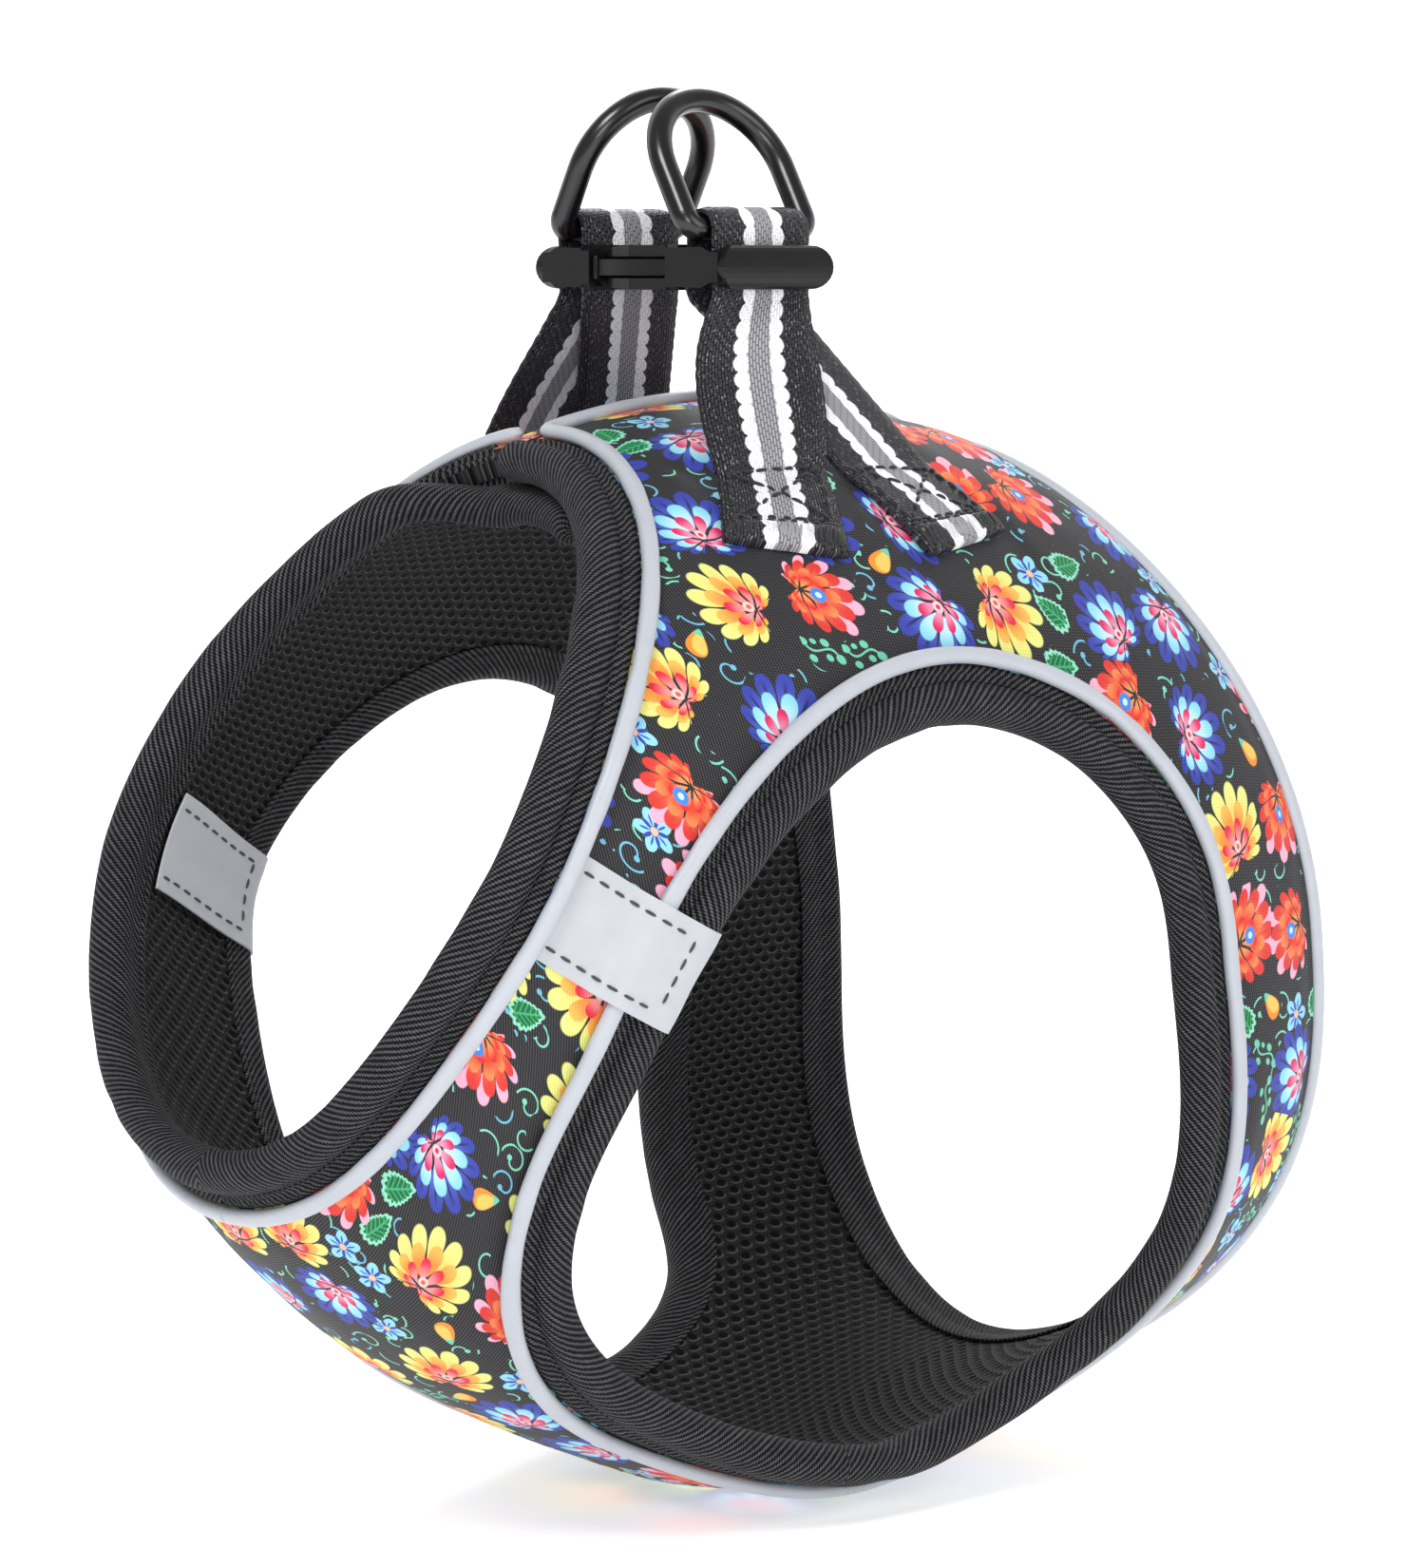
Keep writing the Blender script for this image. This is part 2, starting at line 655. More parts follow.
def printed_fabric():
    shader = Shader("printed_fabric")
    x, y = shader.uv()
    # fine ribs of the woven ground
    length_rib = (x + y * .14).wave(.52)
    girth_rib = (y + x * .08).wave(.47)
    rib = (length_rib * .75 + girth_rib * .35).times_plus(.45, .5, clamp=True)
    colour = mix(rib ** 1.8, rgb(1, 1, 2), rgb(78, 77, 80))
    # lattices for the big flowers and, where none stands, for the small motifs
    big_pitch, big_jitter, big_shift = 18.4, .42, (4.0, 9.0)
    small_pitch, small_shift = 8.0, (1.0, 2.5)
    big_radius, big_turn, _, (_, big_kind, big_size) = nearest_cell(
        x, y, big_pitch, big_jitter, big_shift, zoom=1.12)
    radius, turn, centre, (_, kind, _) = nearest_cell(
        x, y, small_pitch, .45, small_shift, zoom=1.12)
    on_big = [(centre[k] * small_pitch - small_shift[k] + big_shift[k]) / big_pitch
              for k in (0, 1)]
    far = vector(*on_big).voronoi(big_jitter)[0] * big_pitch > 9.7
    # curling tendrils, each a short spiral round a bud
    curl, swing, _, (_, curl_kind, curl_shown) = nearest_cell(
        x, y, pitch=5.6, jitter=.55, shift=(.3, .9))
    wound = swing % TAU
    spiral = abs(curl - wound.times_plus(.34, .7)).below(.17, soft=.05) * (wound > .5)
    bud = ((curl * swing.cos() - .95) * (curl * swing.cos() - .95)
           + (curl * swing.sin()) * (curl * swing.sin())).sqrt().below(.5, soft=.05)
    room = (big_radius > 7.4) * (radius > 2.9)
    colour = mix(spiral.max(bud) * (room * (curl_shown > .25)), colour,
                 mix(curl_kind > .55, rgb(128, 214, 184), rgb(112, 186, 214)))
    # small motifs
    motif_x, motif_y = radius * turn.cos(), radius * turn.sin()
    leaf, leaf_colour = leaf_motif(motif_x, motif_y, turn)
    drop, drop_colour = drop_motif(motif_x, motif_y)
    sprig = sprig_motif(motif_x, motif_y)
    flower, flower_colour = flower_motif(radius, turn)
    from_leaf, from_drop, from_sprig = kind > .42, kind > .68, kind > .8
    motif = mix(from_drop, mix(from_leaf, flower_colour, leaf_colour), drop_colour)
    motif = mix(from_sprig, motif, rgb(112, 204, 172))
    mask = ((flower * (1.0 - from_leaf) + leaf * (from_leaf - from_drop))
            + (drop * (from_drop - from_sprig) + sprig * from_sprig))
    colour = mix(mask * far, colour, motif)
    colour = fan_flowers(colour, big_radius, big_turn, big_kind, big_size)
    # ribs and soiling over the print, then the plain back face
    shade = rgb(16, 16, 18)
    colour = mix(rib.times_plus(-.24, .24), colour, shade)
    colour = mix(vector(x, y).noise(scale=.35, detail=3.0) * .10, colour, shade)
    colour = mix(x > BACK_UV / 2, colour, mix(rib, rgb(6, 6, 7), rgb(40, 40, 42)))
    bumps = rib.bump(strength=.35, distance=.0001)
    bumps = vector(x, y).noise(scale=.9, detail=3.0).bump(.12, .0006, under=bumps)
    shader.finish(color=colour, rough=rib.times_plus(-.12, .66), normal=bumps, sheen=.02,
                  sheen_rough=.5, spec=.26)


# ---------------------------------------------------------------- other materials
def twill_binding():
    shader = Shader("twill_binding")
    x, y = shader.uv()
    diagonal = x * .72 + y * .69
    warp = vector(x, y).noise(scale=1.4)
    patchy = vector(diagonal * 1.3, (x - y) * .12).noise(scale=1.0)
    line = (diagonal + warp * .30).wave(.86)
    yarn = (x * 1.0 - y * .25).wave(.46)
    weave = (line * .8 + yarn * .5).times_plus(.50, .20, clamp=True)
    colour = mix(weave * patchy.times_plus(1.3, .25), rgb(0, 0, 0), rgb(114, 114, 117))
    colour = mix(vector(x, y).noise(scale=.12, detail=3.0) * .25, colour, rgb(9, 9, 10))
    bumps = weave.bump(strength=.9, distance=.00036)
    bumps = vector(x, y).noise(scale=5.0).bump(.2, .0001, under=bumps)
    shader.finish(color=colour, rough=weave.times_plus(-.1, .74), normal=bumps, sheen=.005,
                  sheen_rough=.4, spec=.14)


def reflective(name, base, mottling, rough):
    shader = Shader(name)
    place = vector(*shader.uv())
    mottle = place.noise(scale=.22, detail=3.0)
    grain = place.noise(scale=9.0)
    darker = rgb(*(level - 42 for level in base))
    colour = mix(mottle * mottling, rgb(*base), darker)
    colour = mix(grain * .10, colour, rgb(236, 238, 244))
    bumps = grain.bump(strength=.16, distance=.00008)
    bumps = place.noise(scale=.8).bump(.25, .00035, under=bumps)
    shader.finish(color=colour, rough=mottle.times_plus(.12, rough), normal=bumps, sheen=.06,
                  spec=.45)


def striped_webbing():
    shader = Shader("striped_webbing")
    x, y = shader.uv()
    yarn_width = .52
    # staggered twill floats along the length
    row = (y / yarn_width).floor()
    phase = (x / 1.55 + row * .37) % 1.0
    in_row = abs((y / yarn_width) % 1.0 - .5)
    thread = abs(phase - .5).ramp(.5, .36) * in_row.ramp(.5, .22)
    scallop = abs((x * (pi / 2.9)).sin()) ** .7 * .85
    # grey middle stripe between white ones on black
    out = abs(y)
    out = out + (vector(x, y).noise(scale=2.2) - .5) * .25
    white = out.below(3.45 + scallop, soft=.1) * (out > 1.75)
    grey = out.below(2.05 - scallop * .3, soft=.12)
    black_yarn = mix(thread, rgb(0, 0, 0), rgb(50, 49, 53))
    white_yarn = mix(thread, rgb(225, 226, 231), rgb(253, 253, 254))
    grey_yarn = mix(thread, rgb(98, 98, 103), rgb(158, 158, 163))
    colour = mix(white, black_yarn, white_yarn)
    colour = mix(grey, colour, grey_yarn)
    flecks = vector(x * 1.2, y * 3.2).noise(scale=1.0, detail=1.0).ramp(.58, .7)
    colour = mix(flecks * (thread * .6), colour, rgb(160, 160, 166))
    shader.finish(color=colour, rough=thread.times_plus(-.16, .52), sheen=.005, spec=.22,
                  normal=thread.bump(strength=.75, distance=.0002))


def air_mesh():
    shader = Shader("air_mesh")
    x, y = shader.uv()
    row = (y / MESH_WIDTH).floor()
    hole_x = (x / MESH_LENGTH + row * .5) % 1.0 - .5
    hole_y = (y / MESH_WIDTH) % 1.0 - .5
    shape = ellipse(hole_x, hole_y, .27, .34)
    hole = shape.below(1.0, soft=.35)
    knit = y.wave(.55) * .25 + (x + y).wave(.62) * .25
    colour = mix(.5 + knit, rgb(12, 12, 13), rgb(43, 43, 44))
    rim = shape.below(2.3, soft=.5) * hole_y.ramp(-.1, .35)
    colour = mix(rim * .5, colour, rgb(100, 100, 102))
    colour = mix(hole, colour, rgb(0, 0, 0))
    bumps = (1.0 - hole).bump(strength=.8, distance=.0005)
    bumps = knit.bump(.3, .0001, under=bumps)
    shader.finish(color=colour, rough=.8, normal=bumps, sheen=.01, spec=.15)


def fuzzy(name, low, high, scale, rough):
    shader = Shader(name)
    place = vector(*shader.uv())
    fuzz = place.noise(scale, detail=4.0, roughness=.7)
    colour = mix(fuzz, rgb(*low), rgb(*high))
    bumps = fuzz.bump(strength=.6, distance=.0005)
    bumps = place.noise(scale * 4).bump(.4, .0002, under=bumps)
    shader.finish(color=colour, rough=rough, normal=bumps, sheen=.12, sheen_rough=.6, spec=.2)


def hook_tape():
    shader = Shader("hook_tape")
    x, y = shader.uv()
    hooks_x = abs((x * (pi / 1.1)).sin()) ** 2.0
    hooks_y = abs((y * (pi / .95)).sin()) ** 2.0
    hook = hooks_x * hooks_y
    colour = mix(hook, rgb(14, 14, 15), rgb(52, 52, 55))
    bumps = hook.bump(strength=.8, distance=.0006)
    bumps = vector(x, y).noise(scale=6.0).bump(.2, .0001, under=bumps)
    shader.finish(color=colour, rough=.6, normal=bumps, sheen=.1, spec=.35)


def hard(name, low, high, rough, spec, grain, coat, grain_bump):
    shader = Shader(name)
    place = shader.object_place()
    fine = place.noise(scale=grain, detail=3.0)
    broad = place.noise(scale=60.0)
    colour = mix(fine, rgb(*low), rgb(*high))
    bumps = fine.bump(strength=grain_bump, distance=.00004)
    bumps = broad.bump(.08, .0004, under=bumps)
    shader.finish(color=colour, rough=broad.times_plus(.14, rough), normal=bumps, spec=spec,
                  coat=coat, coat_rough=.2)


def thread(name, low, high):
    shader = Shader(name)
    x, y = shader.uv()
    twist = (x + y * 1.2).wave(.36).times_plus(.4, .5)
    patchy = vector(x, y).noise(scale=2.0)
    colour = mix(twist * patchy, rgb(*low), rgb(*high))
    shader.finish(color=colour, rough=.6, normal=twist.bump(strength=.5, distance=.0001),
                  sheen=.15, spec=.35)


def studio_floor():
    shader = Shader("studio_floor")
    mottle = shader.object_place().noise(scale=40.0, detail=3.0)
    colour = mix(mottle, rgb(250, 250, 250), rgb(246, 246, 247))
    shader.finish(color=colour, emission=colour, emission_strength=.5, rough=.9, spec=.1,
                  normal=mottle.bump(strength=.02, distance=.0005))


printed_fabric()
twill_binding()
reflective("reflective_piping", (174, 178, 186), mottling=.3, rough=.36)
reflective("reflective_tape", (178, 180, 186), mottling=.34, rough=.45)
striped_webbing()
air_mesh()
fuzzy("underlap_fabric", (18, 18, 19), (46, 46, 48), scale=1.6, rough=.85)
hook_tape()
fuzzy("loop_tape", (15, 15, 16), (50, 50, 53), scale=3.2, rough=.9)
hard("ring_metal", (5, 5, 6), (9, 9, 10), rough=.2, spec=.5, grain=900.0, coat=.2,
     grain_bump=.3)
hard("buckle_plastic", (3, 3, 4), (10, 10, 11), rough=.34, spec=.34, grain=2600.0, coat=0.0,
     grain_bump=.5)
thread("black_thread", (12, 12, 13), (60, 60, 63))
thread("grey_thread", (120, 120, 124), (200, 200, 205))
thread("white_thread", (190, 190, 195), (248, 248, 250))
thread("edge_thread", (22, 22, 24), (110, 110, 115))


# ---------------------------------------------------------------- fabric panels
def panel_grid(rows, columns, leg_gap, neck_gap, rear_gap, top_y):
    """Rows round the leg hole, running out to the panel's outer edges."""
    share = np.arange(rows) / rows
    inner_along, inner_angle = leg_offset(share, leg_gap)
    belly_middle = .56
    (neck_top, neck_belly), (neck_top_angle, _) = neck_offset(
        np.array([top_angle(.05, top_y), 180.0]), neck_gap)
    (rear_top, rear_belly), (rear_top_angle, _) = rear_offset(
        np.array([top_angle(1.0, top_y), 180.0]), rear_gap)
    stretch = np.searchsorted(CORNERS[1:5], share, "right")
    part = (share - CORNERS[stretch]) / (CORNERS[stretch + 1] - CORNERS[stretch])
    to_neck, neck, top, rear, from_rear = (part[stretch == k] for k in range(5))
    top_along = neck_top + (rear_top - neck_top) * top
    outer = [
        (belly_middle + (neck_belly - belly_middle) * to_neck, np.full(len(to_neck), 180.0)),
        neck_offset(180 + (neck_top_angle - 180) * neck, neck_gap),
        (top_along, top_angle(top_along, top_y)),
        rear_offset(rear_top_angle + (180 - rear_top_angle) * rear, rear_gap),
        (rear_belly + (belly_middle - rear_belly) * from_rear,
         np.full(len(from_rear), 180.0))]
    outer_along, outer_angle = (np.concatenate(values)[:, None] for values in zip(*outer))
    f = np.linspace(0, 1, columns)[None, :]
    return (inner_along[:, None] * (1 - f) + outer_along * f,
            inner_angle[:, None] * (1 - f) + outer_angle * f)


def edge_distances(along, angle):
    """Approximate mm to the leg hole, neck and rear edges."""
    points = surface(along, angle).reshape(-1, 3)
    outline = surface(LEG_ALONG[::8], LEG_ANGLE[::8])
    leg = np.empty(len(points))
    for i in range(0, len(points), 4000):
        gaps = points[i:i + 4000, None] - outline[None]
        leg[i:i + 4000] = np.sqrt((gaps ** 2).sum(-1)).min(1)
    length = np.linalg.norm(slope_along(along, angle), axis=-1)
    return leg.reshape(along.shape), along * length, (1 - along) * length


def pressed(along, angle):
    """0 under the webbing feet and the reflective tape, 1 away from them."""
    x = surface(along, angle)[..., 0]
    keep = np.ones_like(along)
    for x0, angle0, x1, angle1 in [(*FRONT_FOOT, -22.4, 43.0), (*REAR_FOOT, 14.0, 42.0)]:
        f = np.clip((angle - angle0) / (angle1 - angle0), 0, 1)
        aside = np.abs(x - (x0 + (x1 - x0) * f)) - 11.5
        beyond = np.maximum(angle0 - 3 - angle, angle - angle1 - 1.5) * .96
        keep = np.minimum(keep, smooth(np.maximum(aside, beyond) / 5.0))
    aside = np.abs(angle - 98.25) * .95 - 10.5
    return np.minimum(keep, np.where(along < .24, smooth(aside / 4.0), 1))


def puff(along, angle, cloth_x, cloth_y, side):
    """Height of the padded fabric, sinking towards its stitched edges."""
    leg, neck, rear = edge_distances(along, angle)
    y = surface(along, angle)[..., 1]
    top = np.abs(y - abs(TOP_Y[side])) + 200 * (angle > 90)
    rise = np.minimum(np.minimum(smooth((leg - 11.2) / 7), smooth((neck - 11.2) / 7)),
                      smooth((rear - 3.2) / 6))
    cloth_y = cloth_y * SIDES[side]
    ripple = (.20 * value_noise(cloth_x / 15, cloth_y / 13, 3)
              + .12 * value_noise(cloth_x / 7.5, cloth_y / 7.0, 4))
    near = (np.exp(-np.maximum(np.minimum(np.minimum(leg, neck) - 11.4, 30), 0) / 3.5)
            + np.exp(-np.maximum(rear - 3.2, 0) / 3.0))
    pucker = .13 * value_noise(cloth_x / 3.4, cloth_y / 3.4, 5) * near
    fade = np.where(top < 100, .35 + .65 * smooth(top / 4), 1)
    return rise * (.62 * fade + ripple + pucker) * pressed(along, angle)


def add_panel(side, along, angle, cloth, top, bottom, name, finish, replaced):
    uv = np.stack([cloth[0].ravel(), (cloth[1] * SIDES[side]).ravel()], 1)
    add_sheet(name, side, mirror(lifted(along, angle, top), side),
              mirror(lifted(along, angle, bottom), side), uv, finish, 42, replaced, panel=True)


def add_outer_fabric(side):
    along, angle = panel_grid(int(460 * DETAIL), int(52 * DETAIL), 7.0, 7.0, 3.0, TOP_Y[side])
    cloth = cloth_uv(along, angle)
    top = puff(along, angle, *cloth, side) - .02
    add_panel(side, along, angle, cloth, top, np.full_like(top, -1.1),
              side + "_outer_fabric", "printed_fabric", (side + "_shell", "chest_shell"))


def add_lining(side):
    top_y = 31.0 if side == "left" else TOP_Y[side]
    along, angle = panel_grid(int(560 * DETAIL), int(62 * DETAIL), 6.0, 6.0, 4.8, top_y)
    cloth_x, cloth_y = cloth_uv(along, angle)
    row = np.floor(cloth_y / MESH_WIDTH)
    hole_x = np.mod(cloth_x / MESH_LENGTH + row * .5, 1) - .5
    hole_y = np.mod(cloth_y / MESH_WIDTH, 1) - .5
    hole = np.exp(-((hole_x / .26) ** 2 + (hole_y / .34) ** 2))
    leg, neck, rear = edge_distances(along, angle)
    rise = np.minimum(np.minimum(smooth((leg - 7.9) / 3), smooth((neck - 7.9) / 3)),
                      smooth((rear - 6) / 3))
    ripple = .22 * value_noise(cloth_x / 13, cloth_y * SIDES[side] / 11, 8)
    inner = -4.34 + rise * (.34 * hole + .16 + ripple * .6)
    add_panel(side, along, angle, (cloth_x, cloth_y), np.full_like(along, -1.62), inner,
              side + "_mesh_lining", "air_mesh", (side + "_lining", "chest_lining"))


# ---------------------------------------------------------------- bindings
def arc(centre, radius, first, last, count):
    turns = np.radians(np.linspace(first, last, count))
    return list(zip(centre[0] + radius * np.cos(turns), centre[1] + radius * np.sin(turns)))


# Profiles are (distance from the edge, height over the surface).
ROLL_RADIUS = 3.3
ROLL_IN, ROLL_HEIGHT = ROLL = (3.3, -1.6)       # middle of the rolled edge
# rolled edge with an outer and an inner stitched flange
ROLL_PROFILE = np.array(
    [(6.55, -3.2), (6.5, -1.6), (6.4, -.55), (6.75, .02), (7.4, .04), (8.2, .05),
     (8.85, .07), (8.95, .3), (8.6, .5), (8.1, .62), (7.7, .52), (7.35, .2), (7.0, .16),
     (6.62, .1), (6.35, .25)]
    + arc(ROLL, ROLL_RADIUS, 30, 292, 27)
    + [(5.3, -4.62), (6.0, -4.76), (6.35, -4.72), (6.6, -4.58), (6.85, -4.62), (7.2, -4.84),
       (7.65, -4.88), (8.0, -4.78), (8.05, -4.6), (7.95, -4.42), (7.3, -4.42), (6.8, -4.42),
       (6.45, -4.3)])
# narrow roll under the rear edge, with a flange on the lining
REAR_PROFILE = np.array(
    [(4.6, -1.75), (3.4, -1.72), (2.4, -1.7)]
    + arc((2.3, -3.3), 1.75, 110, 290, 15)
    + [(3.6, -4.86), (4.6, -4.66), (5.2, -4.55), (6.0, -4.85), (7.2, -4.95), (8.6, -4.95),
       (9.2, -4.8), (9.2, -4.5), (8.0, -4.44), (6.2, -4.42), (4.75, -4.4), (4.7, -3.0)])


def edge_grid(offset, stations, distance, height):
    """Points at distances and heights (rows, columns) from an edge."""
    return lifted(*offset(stations[:, None] + np.zeros_like(distance), distance), height)


def add_roll_binding(side, kind, name, replaced, count):
    """Rolled binding round the leg hole, or along the neck from belly to top."""
    inward, rise = ROLL_PROFILE.T[:, None]
    closed = kind == "leg"
    if closed:
        offset = leg_offset
        stations = np.arange(count) / count
        length = LEG_LENGTH
    else:
        offset = neck_offset
        end_y = -16.0 if side == "right" else TOP_Y[side]
        stations = np.linspace(180.0, top_angle(0.0, end_y), count)
        length = path_length(surface(*neck_offset(stations, ROLL_IN)))[-1]
    seed = {"neck": 21, "leg": 31}[kind] + (0 if side == "left" else 3)
    ripple = (ring_noise(count, 9.0 * count / length, .16, seed)
              + ring_noise(count, 4.2 * count / length, .10, seed + 1))
    along = np.linspace(0, 1, count) * length
    if not closed:
        # the two sides meet at the middle of the belly, so the ripple dies out there
        ripple *= smooth(along / 8)
    ripple = ripple[:, None]
    up = np.where(inward < 6.5, 1.0, .25) * np.clip((rise - ROLL_HEIGHT) / ROLL_RADIUS, -1, 1)
    out = np.where(inward < 6.5, 1.0, .1) * np.clip((ROLL_IN - inward) / ROLL_RADIUS, -1, 1)
    distance = inward + np.minimum(ripple, .0) * out
    height = rise + np.minimum(ripple, .12) * up
    middle = ROLL_HEIGHT
    x = np.arange(count) / count * length
    if kind == "neck" and side == "right":
        # dips near the top and runs on under the left flap; the flange stays with the fabric
        dip = 6.9 * smooth((33 - stations) / 26)[:, None]
        middle = ROLL_HEIGHT - dip
        height = height - dip * (1 - smooth((inward - 6.0) / 1.0))
        open_ = smooth((stations - 6.0) / 4.0)[:, None]
        flange = inward > 6.55
        distance = np.where(flange, 6.5 + (distance - 6.5) * open_, distance)
        folded = middle + .45 * (rise - ROLL_HEIGHT)
        height = np.where(flange, height * open_ + folded * (1 - open_), height)
    else:
        # pinches along the stitch groove
        pinch = .5 + .5 * np.cos(TAU * x / 3.4)
        groove = np.exp(-((inward - 8.1) / .7) ** 2) * (rise > 0)
        height = height - .16 * pinch[:, None] * groove
    if not closed:
        size = dome((along - (length - 3.6)) / 3.55, power=2.2, least=.004)[:, None]
        distance = ROLL_IN + (distance - ROLL_IN) * size
        height = middle + (height - middle) * size
    around = path_length(ROLL_PROFILE)
    period = around[-1] + np.linalg.norm(ROLL_PROFILE[-1] - ROLL_PROFILE[0])
    add_tube(name, side, edge_grid(offset, stations, distance, height), closed,
             grid_uv(x, around), "twill_binding", replaced, 50,
             (length if closed else 0, period))


def add_rear_binding(side):
    count = int(200 * DETAIL)
    inward, rise = REAR_PROFILE.T[:, None]
    stations = np.linspace(180, top_angle(1.0, TOP_Y[side]), count)
    length = path_length(surface(*rear_offset(stations, 2.3)))[-1]
    x = np.linspace(0, length, count)
    size = dome((x - (length - 1.8)) / 1.78, least=.01)[:, None]
    ripple = ring_noise(count, 6, .08, 41 if side == "left" else 43) * smooth(x / 8)
    distance = 3.2 + (inward - 3.2) * size
    height = rise + ripple[:, None] * (rise < -4)
    height = -3.2 + (height + 3.2) * size
    around = path_length(REAR_PROFILE)
    add_tube(side + "_rear_edge_binding", side,
             edge_grid(rear_offset, stations, distance, height), False, grid_uv(x, around),
             "twill_binding", (side + "_rear_binding", "chest_rear_binding"), 50,
             (0, around[-1] + 1.3))


# ---------------------------------------------------------------- piping
PIPE_WIDE, PIPE_HIGH = 1.45, 1.1    # half width and half height
PIPE_LIFT, REAR_LIFT = 1.17, -.2    # height of its middle over the surface
PIPE_GAP, REAR_GAP = 10.2, 1.15     # distance from the leg hole and neck edges, the rear edge


def even_path(along, angle, height, spread=0.0):
    """Even steps along a path of lifted places, corners rounded by spread mm."""
    path = np.stack([along, angle, height], 1)
    length = path_length(lifted(*path.T))
    path = interp_rows(np.arange(0, length[-1], .5), length, path)
    if spread:
        path = blur_rows(path, .5, spread, int(6 * spread))
    length = path_length(lifted(*path.T))
    x = np.linspace(0, length[-1], max(8, int(length[-1] / (.9 / DETAIL))))
    return interp_rows(x, length, path), x


def add_piping(name, side, path, x, replaced, seed, closed=False, wide=PIPE_WIDE,
               high=PIPE_HIGH, taper_start=False, taper_end=False):
    points = lifted(*path.T)
    ahead = (np.roll(points, -1, 0) - np.roll(points, 1, 0) if closed
             else np.gradient(points, axis=0))
    ahead = unit(ahead)
    aside = unit(np.cross(ahead, normal(path[:, 0], path[:, 1])))
    up = unit(np.cross(aside, ahead))
    turns = (np.arange(14) + .5) / 14 * TAU
    squarish = np.sign(np.cos(turns)) * np.abs(np.cos(turns)) ** .85
    wobble = 1 + ring_noise(len(points), 5, .05, seed) * smooth(x / 6)
    size = np.ones(len(points))
    if taper_start:
        size *= dome((wide - x) / wide, least=.004)
    if taper_end:
        size *= dome((x - (x[-1] - wide)) / wide, least=.004)
    rings = (points[:, None]
             + aside[:, None] * (wide * squarish)[None, :, None] * (wobble * size)[:, None, None]
             + up[:, None] * (high * np.sin(turns))[None, :, None] * size[:, None, None])
    mean = (wide + high) / 2
    add_tube(name, side, rings, closed, grid_uv(x, turns * mean), "reflective_piping",
             replaced, None, (x[-1] + x[1] if closed else 0, TAU * mean))


def add_leg_piping(side):
    count = int(360 * DETAIL)
    along, angle = leg_offset(np.arange(count) / count, PIPE_GAP)
    path = np.stack([along, angle, np.full(count, PIPE_LIFT)], 1)
    add_piping(side + "_leg_hole_piping", side, path, path_length(lifted(*path.T)),
               (side + "_leg_piping", "chest_" + side + "_leg_piping"), seed=5, closed=True)


def add_edge_piping(side):
    """Neck and rear piping; on the left it also runs along the flap between them."""
    top_y = TOP_Y[side]
    neck, neck_angle = neck_offset(np.linspace(180, top_angle(.07, top_y), 160), PIPE_GAP)
    rear, rear_angle = rear_offset(np.linspace(top_angle(1.0, top_y), 180, 160), REAR_GAP)
    if side == "left":
        flap_y = -1.6
        kept = top_angle(neck, flap_y) < neck_angle
        neck, neck_angle = neck[kept], neck_angle[kept]
        kept = top_angle(np.minimum(rear, 1), flap_y) < rear_angle
        rear, rear_angle = rear[kept], rear_angle[kept]
        flap = np.linspace(neck[-1], rear[0], 120)[1:-1]
        drop = smooth((np.arange(len(flap)) - (len(flap) - 9)) / 8)
        height = np.r_[np.full(len(neck), PIPE_LIFT), PIPE_LIFT * (1 - drop) + REAR_LIFT * drop,
                       np.full(len(rear), REAR_LIFT)]
        path, x = even_path(np.r_[neck, flap, rear],
                            np.r_[neck_angle, top_angle(flap, flap_y), rear_angle],
                            height, spread=2.2)
        path[[0, -1], 1] = 180
        add_piping("left_edge_piping", side, path, x,
                   ("left_neck_piping", "chest_neck_piping", "left_flap_piping",
                    "left_rear_piping", "chest_rear_piping"), seed=7)
        return
    add_piping("right_neck_edge_piping", side,
               *even_path(neck, neck_angle, np.full(len(neck), PIPE_LIFT)),
               ("right_neck_piping", "chest_neck_piping"), seed=8, taper_end=True)
    add_piping("right_rear_edge_piping", side,
               *even_path(rear, rear_angle, np.full(len(rear), REAR_LIFT)),
               ("right_rear_piping", "chest_rear_piping"), seed=9, wide=1.65, high=1.4,
               taper_start=True)


